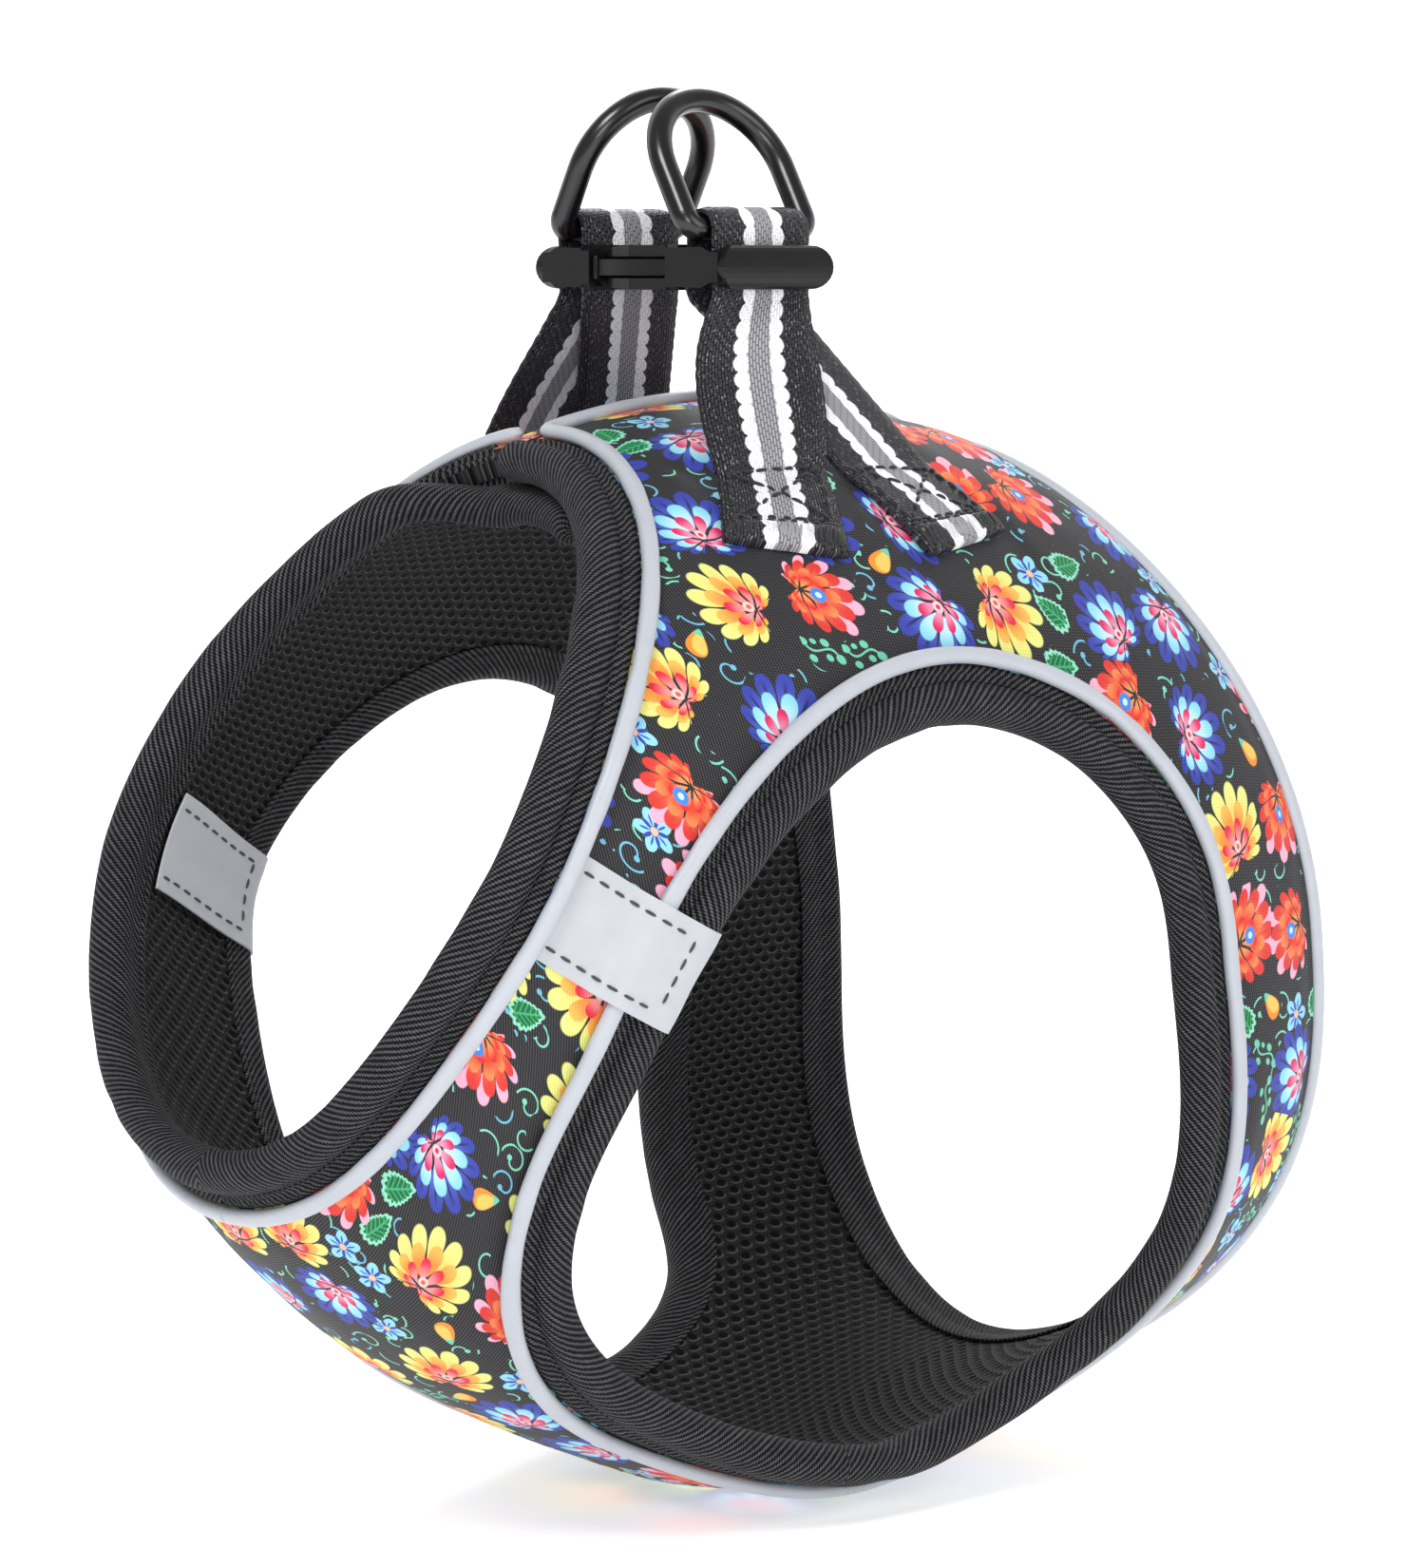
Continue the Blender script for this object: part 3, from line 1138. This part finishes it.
# ---------------------------------------------------------------- stitches
def add_stitches(name, side, stitches, material, radius, lift):
    """stitches: (start, end, normal) each; every one is a rounded, slightly arched capsule."""
    rings, sides = 7, 8
    turns = np.arange(sides) / sides * TAU
    f = np.linspace(0, 1, rings)
    ring_radius = radius * np.sqrt(np.clip(1 - (2 * f - 1) ** 4, .02, 1))
    arch = radius * .55 * (1 - (2 * f - 1) ** 2)
    k = np.arange(sides)
    last = k + (rings - 1) * sides
    tips = np.full(sides, rings * sides)
    capsule = [quads(rings, sides, False, True),
               np.stack([tips, k, (k + 1) % sides], 1),
               np.stack([tips + 1, (k + 1) % sides + (rings - 1) * sides, last], 1)]
    verts, faces, uvs = [], [], []
    first = 0
    for stitch in stitches:
        start, end, up = (mirror(part, side) for part in stitch)
        ahead = unit(end - start)
        aside = unit(np.cross(ahead, unit(up)))
        up = np.cross(aside, ahead)
        length = np.linalg.norm(end - start)
        middle = start + (end - start) * f[:, None] + up * (arch + lift)[:, None]
        spokes = (aside * np.cos(turns)[None, :, None]
                  + up * np.sin(turns)[None, :, None] * .8)
        tube = middle[:, None] + ring_radius[:, None, None] * spokes
        verts += [tube.reshape(-1, 3), middle[:1] - ahead * radius * .15,
                  middle[-1:] + ahead * radius * .15]
        for part in capsule:
            faces += (part + first).tolist()
        uvs += [grid_uv(f * length, turns * radius), [[0, 0], [length, 0]]]
        first += rings * sides + 2
    ob = add_mesh(name, np.vstack(verts), faces, np.vstack(uvs), material)
    work = bmesh.new()
    work.from_mesh(ob.data)
    bmesh.ops.recalc_face_normals(work, faces=work.faces)
    work.to_mesh(ob.data)
    work.free()
    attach(ob, side + "_side")


# ---------------------------------------------------------------- reflective tape
TAPE_FROM, TAPE_TO = leg_share_at(91.2), leg_share_at(104.0)    # on the leg hole outline
# from the neck over the leg hole's roll and back on the inside:
# edge measured from, distance, height
TAPE_PATH = (
    [("neck", 11.75, .34), ("leg", 14.2, .36), ("leg", 13.0, .9), ("leg", 12.0, 2.2),
     ("leg", 11.2, 2.66), ("leg", 10.2, 2.78), ("leg", 8.9, 2.66)]
    + [("leg", *point) for point in arc(ROLL, 3.75, 75, 270, 22)]
    + [("leg", 5.0, -5.35), ("leg", 7.6, -5.42), ("leg", 11.0, -5.42),
       ("neck", 13.5, -5.35), ("neck", 8.5, -5.35)])


def tape_row(edge, distance, height):
    f = np.linspace(0, 1, 25)
    size = 1.0
    for _ in range(3):          # a strip of one width all the way
        part = .5 + (f - .5) * size
        if edge == "leg":
            place = leg_offset(TAPE_FROM + (TAPE_TO - TAPE_FROM) * part, distance)
        else:
            place = neck_offset(88.9 + (102.6 - 88.9) * part, distance)
        row = lifted(*place, height)
        size *= TAPE_WIDTH / path_length(row)[-1]
    return row


def outward(grid, centre):
    """Normals of a grid of points, turned away from a centre."""
    normals = unit(np.cross(np.gradient(grid, axis=0), np.gradient(grid, axis=1)))
    i, j = len(grid) // 2, grid.shape[1] // 2
    return -normals if np.sum(normals[i, j] * (grid[i, j] - centre)) < 0 else normals


def add_reflective_tape(side):
    rows = np.array([tape_row(*station) for station in TAPE_PATH])
    columns = rows.shape[1]
    # steps and fairing are for whole rows, so they grow with the number of columns
    step, spread = .8 * math.sqrt(columns) / DETAIL, 1.1 * math.sqrt(columns)
    flat = rows.reshape(len(rows), -1)
    length = path_length(flat)
    x = np.linspace(0, length[-1], max(4, int(length[-1] / step)))
    flat = blur_rows(interp_rows(x, length, flat), step, spread, int(3 * spread / step) + 1)
    grid = flat.reshape(-1, columns, 3)
    count = len(grid)
    roll = lifted(*leg_offset(np.array([(TAPE_FROM + TAPE_TO) / 2]), ROLL_IN), ROLL_HEIGHT)[0]
    normals = outward(grid, roll)
    wobble = .10 * value_noise(np.linspace(0, count / 7, count)[:, None],
                               np.linspace(0, 4, columns)[None], 12)
    edge = np.minimum(np.linspace(0, 1, columns), 1 - np.linspace(0, 1, columns))[None]
    height = .17 + np.maximum(wobble, -.05) * smooth(edge * 6) + .10 * smooth(edge * 7)
    top = grid + normals * height[..., None]
    middle = grid[:, columns // 2]
    length = path_length(middle)
    add_sheet(side + "_reflective_tape", side, mirror(top, side),
              mirror(grid - normals * .17, side),
              grid_uv(length, np.linspace(0, TAPE_UV_WIDTH, columns)), "reflective_tape", 50,
              (side + "_reflective_patch",))

    stitches = []
    inset = 2.3 / TAPE_UV_WIDTH

    def stitch(place, across, end_place, end_across):
        ends = [(np.interp(at, length, np.arange(count)), share * (columns - 1))
                for at, share in ((place, across), (end_place, end_across))]
        stitches.append((bilinear(top, *ends[0]), bilinear(top, *ends[1]),
                         bilinear(normals, *ends[0])))

    def stitch_sides(start, stop, crossing):
        """Dashes down both edges, and one row across."""
        for across in (inset, 1 - inset):
            place = start
            while place + 1.9 < stop:
                stitch(place, across, place + 1.9, across)
                place += 2.75
        across = inset + .02
        while across + .11 < 1 - inset + .02:
            stitch(crossing, across, crossing, across + .115)
            across += .165

    from_roll = np.linalg.norm(middle - roll, axis=1)
    reaches_roll = np.argmin(np.abs(from_roll - 3.75) + 100 * (np.arange(count) < 4))
    crossing = length[reaches_roll] - .6
    stitch_sides(.4, crossing + .3, crossing)
    inside = length[np.nonzero(from_roll < 3.95)[0][-1]] + 1.2
    stitch_sides(inside, length[-1] - .6, inside)
    add_stitches(side + "_tape_stitching", side, stitches, "edge_thread",
                 radius=.25, lift=-.02)


# ---------------------------------------------------------------- webbing loops
BAR_X, BAR_Y, BAR_Z = -6.4, -15, 87.8   # middle of the turn round the ring's bar
FOLD = 2 + .06 + .7                     # bar radius, gap, webbing to its middle
ACROSS = np.linspace(-10, 10, 15)


def along_at(x, angle):
    """Share along the body at a given x, by bisection."""
    low, high = np.zeros_like(x), np.ones_like(x)
    for _ in range(24):
        middle = (low + high) / 2
        short = surface(middle, angle)[..., 0] < x
        low, high = np.where(short, middle, low), np.where(short, high, middle)
    return (low + high) / 2


def foot_row(x, angle, slant=0.0):
    angles = angle + slant * ACROSS
    return lifted(along_at(x + .985 * ACROSS, angles), angles, .92)


def free_row(y, z):
    return np.stack([BAR_X + ACROSS, np.full(len(ACROSS), y), np.full(len(ACROSS), z)], 1)


def webbing_rows(twist):
    """Up from the front foot, over the bar and down to the rear foot; twist in degrees."""
    low, high = 77.5, 82
    front, rear = foot_row(*FRONT_FOOT), foot_row(*REAR_FOOT)
    outer, inner = BAR_Y - FOLD, BAR_Y + FOLD
    rows = [foot_row(-22.2, 42, .16), foot_row(-20, 37.7, .11), foot_row(-17.6, 33.3, .05),
            front]
    for f in (.12, .25, .38, .5, .62, .75, .88):
        turn = math.radians(twist * math.sin(pi * f) ** 1.2)
        rows.append(front * (1 - f) + free_row(outer, low) * f
                    + np.array([0, -2.4 * math.sin(pi * f) * (1 - f), 0])
                    + (10 - ACROSS)[:, None] * np.array([1 - math.cos(turn), math.sin(turn), 0]))
    rows += [free_row(outer, low), free_row(outer, high)]
    for degrees in range(180, -1, -15):
        turn = math.radians(degrees)
        rows.append(free_row(BAR_Y + FOLD * math.cos(turn), BAR_Z + FOLD * math.sin(turn)))
    rows += [free_row(inner, high), free_row(inner, low)]
    rows += [free_row(inner, low) * (1 - f) + rear * f for f in (.14, .3, .5, .7, .88)]
    rows += [rear, foot_row(9.8, 32.5, -.07), foot_row(11.8, 36.7, -.13),
             foot_row(13.8, 41, -.2)]
    return np.array(rows)


def spline_rows(rows, step):
    """Smooth rows through control rows, even steps along the middle."""
    samples = 1200
    gaps = np.linalg.norm(np.diff(rows[:, rows.shape[1] // 2], axis=0), axis=1)
    knots = np.r_[0, np.cumsum(np.sqrt(np.maximum(gaps, 1e-6)))]
    place = np.linspace(0, knots[-1], samples)
    i = np.clip(np.searchsorted(knots, place, "right") - 1, 0, len(rows) - 2)
    h = (knots[i + 1] - knots[i])[:, None, None]
    f = (place - knots[i])[:, None, None] / h
    slopes = np.zeros_like(rows)
    slopes[1:-1] = (rows[2:] - rows[:-2]) / (knots[2:] - knots[:-2])[:, None, None]
    slopes[0] = (rows[1] - rows[0]) / (knots[1] - knots[0])
    slopes[-1] = (rows[-1] - rows[-2]) / (knots[-1] - knots[-2])
    f2, f3 = f * f, f ** 3
    curve = ((2 * f3 - 3 * f2 + 1) * rows[i] + (f3 - 2 * f2 + f) * h * slopes[i]
             + (-2 * f3 + 3 * f2) * rows[i + 1] + (f3 - f2) * h * slopes[i + 1])
    length = path_length(curve[:, curve.shape[1] // 2])
    x = np.linspace(0, length[-1], int(length[-1] / step))
    place = np.interp(x, length, np.arange(samples))
    j = np.minimum(place.astype(int), samples - 2)
    f = (place - j)[:, None, None]
    return curve[j] * (1 - f) + curve[j + 1] * f, x


def add_webbing(side):
    grid, x = spline_rows(webbing_rows(19 if side == "left" else 0), .7 / DETAIL)
    count, columns = grid.shape[:2]
    total = x[-1]
    normals = outward(grid, np.array([BAR_X, BAR_Y, BAR_Z]))
    from_end = np.minimum(x, total - x)
    hem = smooth((5.2 - from_end) / 1.2)
    front_hem = np.where(x < total / 2, hem, 0)   # the strap shows its other face at the rear
    rear_hem = hem - front_hem
    end = dome((.9 - from_end) / .9)[:, None]
    weave = .05 * value_noise(x[:, None] / 2.4, ACROSS[None] / 2.4, 51)
    out = np.abs(ACROSS)
    rounded = np.sqrt(1 - np.clip((out - 9.1) / .9, 0, 1) ** 2 * .82)[None]
    ripple = .07 * np.sin(TAU * x / 2.4)[:, None] * (out[None] > 9.5)
    top_height = ((.62 + weave) * rounded + ripple * .5
                  + front_hem[:, None] * (.72 + 2 * weave) * end * rounded)
    bottom_depth = (.66 * rounded + ripple * .4
                    + rear_hem[:, None] * (.66 + 2 * weave) * end * rounded)
    # edges scalloped a little sideways
    scallop = ((.16 * np.abs(np.sin(pi * x / 2.4)))[:, None] * np.sign(ACROSS)[None]
               * (out[None] > 9.9))
    aside = unit(np.gradient(grid, axis=1)) * scallop[..., None]
    top = grid + normals * top_height[..., None] + aside
    bottom = grid - normals * bottom_depth[..., None] + aside
    add_sheet(side + "_webbing_loop", side, mirror(top, side), mirror(bottom, side),
              grid_uv(x, ACROSS), "striped_webbing", 60, (side + "_webbing",))

    def on_face(place, across):
        """Point and normal on the face that shows."""
        spot = np.interp(place, x, np.arange(count)), (across + 10) / 20 * (columns - 1)
        if place < total / 2:
            return bilinear(top, *spot), bilinear(normals, *spot)
        return bilinear(bottom, *spot), -bilinear(normals, *spot)

    rng = np.random.default_rng(5)
    stitches = {"black": [], "white": [], "grey": []}

    def stitch_line(place0, across0, place1, across1, stitch=2.1, gap=.45):
        length = math.hypot(place1 - place0, across1 - across0)
        done = 0.0
        while done < length - .4:
            points = []
            for f in (done / length, min(1, (done + stitch) / length)):
                jitter = rng.normal(0, .22, 2)
                points.append(on_face(place0 + (place1 - place0) * f + jitter[0] * .4,
                                      across0 + (across1 - across0) * f + jitter[1]))
            stitches["black"].append((points[0][0], points[1][0], points[0][1]))
            done += stitch + gap

    near, far, half = 5.6, 17.0, 8.3
    box = [(near, -half, near, half), (far, -half, far, half),      # box with a cross in it
           (near, -half, far, -half), (near, half, far, half),
           (near + .2, -half + .4, far - .2, half - .4),
           (near + .2, half - .4, far - .2, -half + .4)]
    for sign, base in ((1, 0.0), (-1, total)):
        for place0, across0, place1, across1 in box:
            stitch_line(base + sign * place0, across0, base + sign * place1, across1)
        hem_line = base + sign * 4.9
        stitch_line(hem_line, -9.0, hem_line, 9.0, stitch=1.6, gap=.3)
        # whip stitches over the hem, coloured by the stripe they cross
        across = -9.6
        while across < 9.6:
            start, up = on_face(base + sign * .35, across + rng.normal(0, .12))
            finish, _ = on_face(base + sign * (4.3 + rng.normal(0, .35)),
                                min(9.7, across + .75 + rng.normal(0, .15)))
            out = abs(across + .3)
            stripe = "grey" if out < 1.9 else "white" if out < 4.0 else "black"
            stitches[stripe].append((start, finish, up))
            across += .62
    for colour, group in stitches.items():
        add_stitches(f"{side}_webbing_stitching_{colour}", side, group, colour + "_thread",
                     radius=.3, lift=.02)


# ---------------------------------------------------------------- back closure
def add_lap(side, name, along, y, height, finish, replaced, seed):
    """Flat strip with rounded corners along the back; along, y and height are (from, to)."""
    rows, columns = int(140 * DETAIL), int(34 * DETAIL)
    grid = np.linspace(*along, rows)[:, None] + np.zeros((1, columns))
    length = 165.0 * (along[1] - along[0])
    place = np.linspace(0, length, rows)[:, None]
    from_end = np.minimum(place, length - place)
    corner = 3.0
    inset = corner * (1 - dome((corner - from_end) / corner))
    middle, half = (y[0] + y[1]) / 2, abs(y[1] - y[0]) / 2
    angle = top_angle(grid, middle + (np.linspace(*y, columns)[None] - middle)
                      * (1 - inset / half))
    cloth_x, cloth_y = cloth_uv(grid, angle)
    rough = (.1 * value_noise(cloth_x / 9, cloth_y / 9, seed)
             + .1 * .6 * value_noise(cloth_x / 1.3, cloth_y / 1.3, seed + 1))
    f = np.linspace(0, 1, columns)
    from_edge = np.minimum(from_end, np.minimum(f, 1 - f)[None] * 2 * half)
    rounding = .3 * (height[1] - height[0]) * (1 - dome((.9 - from_edge) / .9))
    top = height[1] - rounding - .08 + np.minimum(rough, .06)
    bottom = height[0] + rounding + .08 + np.maximum(-rough, -.06)
    add_sheet(name, side, lifted(grid, angle, top), lifted(grid, angle, bottom),
              np.stack([cloth_x.ravel(), cloth_y.ravel()], 1), finish, 50, (replaced,))


# ---------------------------------------------------------------- build
for side in SIDES:
    add_outer_fabric(side)
    add_lining(side)
    add_roll_binding(side, "neck", side + "_neck_binding",
                     (side + "_neck_roll", "chest_neck_roll"), int(260 * DETAIL))
    add_roll_binding(side, "leg", side + "_leg_hole_binding",
                     (side + "_leg_roll", "chest_" + side + "_leg_roll"), int(420 * DETAIL))
    add_leg_piping(side)
    add_edge_piping(side)
    add_rear_binding(side)
    add_reflective_tape(side)
    add_webbing(side)

add_lap("right", "right_underlap_panel", along=(.12, .93), y=(-14, 28), height=(-6.2, -4.9),
        finish="underlap_fabric", replaced="right_underlap", seed=61)
add_lap("right", "right_loop_tape", along=(.14, .90), y=(-1, 27), height=(-4.7, -3.4),
        finish="loop_tape", replaced="loop_tape", seed=63)
add_lap("left", "left_hook_tape", along=(.14, .90), y=(-1, 27), height=(-3.2, -1.6),
        finish="hook_tape", replaced="hook_tape", seed=65)

# hardware keeps its CAD shape; edges get a small radius: piece, material, radius in mm
HARDWARE = [("left_d_ring", "ring_metal", 0), ("right_d_ring", "ring_metal", 0),
            ("buckle_socket", "buckle_plastic", .35), ("buckle_plug", "buckle_plastic", .35),
            ("front_latch_arm", "buckle_plastic", .2), ("rear_latch_arm", "buckle_plastic", .2)]
for name, material, radius in HARDWARE:
    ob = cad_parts[name]
    ob.data.materials.clear()
    ob.data.materials.append(MATERIALS[material])
    for polygon in ob.data.polygons:
        polygon.use_smooth = True
    ob.data.set_sharp_from_angle(angle=math.radians(28))
    if radius:
        bevel = ob.modifiers.new("edge", "BEVEL")
        bevel.width = radius / 1000
        bevel.segments = 3
        bevel.limit_method = "ANGLE"
        bevel.angle_limit = math.radians(38)
        bevel.harden_normals = True

# ---------------------------------------------------------------- stage, light, camera
HEADING = math.radians(43.0)        # camera's heading, from +Y towards +X
PITCH = math.atan(.109)             # downwards
CAMERA_DISTANCE = 757.575758        # mm
FOCAL_LENGTH = 109.090909

forward = np.array([math.sin(HEADING) * math.cos(PITCH), math.cos(HEADING) * math.cos(PITCH),
                    -math.sin(PITCH)])
rightward = np.array([math.cos(HEADING), -math.sin(HEADING), 0])
upward = np.cross(rightward, forward)


def add_floor():
    """Floor sweeping up into a backdrop behind the object, in metres."""
    studio_floor()
    level = unit(np.array([forward[0], forward[1], 0.0]))
    bend_start, bend_radius, half_wide = .55, .5, 2.6
    sweep = [(-1.6, 0.0), (bend_start, 0.0)]
    sweep += [(bend_start + bend_radius * math.sin(turn), bend_radius * (1 - math.cos(turn)))
              for turn in np.linspace(.1, pi / 2, 14)]
    sweep += [(bend_start + bend_radius, 2.4)]
    verts = [tuple(level * x + rightward * y + np.array([0, 0, z - .0006]))
             for x, z in sweep for y in (-half_wide, half_wide)]
    mesh = bpy.data.meshes.new("studio_floor")
    mesh.from_pydata(verts, [], [(2 * i, 2 * i + 1, 2 * i + 3, 2 * i + 2)
                                 for i in range(len(sweep) - 1)])
    for polygon in mesh.polygons:
        polygon.use_smooth = True
    mesh.materials.append(MATERIALS["studio_floor"])
    floor = bpy.data.objects.new("studio_floor", mesh)
    bpy.context.scene.collection.objects.link(floor)


def add_world():
    """Dim white light, seen by the camera as full white."""
    world = bpy.data.worlds.new("studio")
    world.use_nodes = True
    nodes, links = world.node_tree.nodes, world.node_tree.links
    dim = nodes["Background"]
    bright = nodes.new("ShaderNodeBackground")
    choose = nodes.new("ShaderNodeMixShader")
    rays = nodes.new("ShaderNodeLightPath")
    for background, strength in ((dim, .40), (bright, 1.0)):
        background.inputs[0].default_value = (1, 1, 1, 1)
        background.inputs[1].default_value = strength
    links.new(rays.outputs["Is Camera Ray"], choose.inputs[0])
    links.new(dim.outputs[0], choose.inputs[1])
    links.new(bright.outputs[0], choose.inputs[2])
    links.new(choose.outputs[0], nodes["World Output"].inputs[0])
    bpy.context.scene.world = world


def add_light(name, azimuth, elevation, distance, size, power):
    """Disk light aimed at the vest; angles in degrees, azimuth from +X towards +Y."""
    light = bpy.data.lights.new(name, "AREA")
    light.shape = "DISK"
    light.size = size
    light.energy = power
    ob = bpy.data.objects.new(name, light)
    azimuth, elevation = math.radians(azimuth), math.radians(elevation)
    away = Vector((math.cos(elevation) * math.cos(azimuth),
                   math.cos(elevation) * math.sin(azimuth), math.sin(elevation)))
    ob.location = Vector((0.0, 0.0, .11)) + away * distance
    ob.rotation_euler = (-away).to_track_quat("-Z", "Y").to_euler()
    bpy.context.scene.collection.objects.link(ob)


def add_camera():
    camera = bpy.data.cameras.new("camera")
    camera.lens = FOCAL_LENGTH
    camera.sensor_width = 36
    camera.sensor_fit = "AUTO"
    camera.clip_start, camera.clip_end = .01, 20
    ob = bpy.data.objects.new("camera", camera)
    pose = Matrix([(*row, 0) for row in zip(rightward, upward, -forward)] + [(0, 0, 0, 1)])
    pose.translation = Vector((-CAMERA_DISTANCE * forward + SHIFT) / 1000)
    ob.matrix_world = pose
    bpy.context.scene.collection.objects.link(ob)
    bpy.context.scene.camera = ob


add_floor()
add_world()
add_light("key", azimuth=205, elevation=48, distance=1.1, size=.42, power=7.0)
add_light("fill", azimuth=280, elevation=22, distance=1.3, size=.8, power=4.2)
add_light("rim", azimuth=40, elevation=42, distance=1.2, size=.5, power=4.0)
add_light("front", azimuth=232, elevation=12, distance=1.4, size=.5, power=4.2)
add_camera()
view = bpy.context.scene.view_settings
view.view_transform = "Standard"
view.look = "None"
view.exposure = 0.0
view.gamma = 1.0
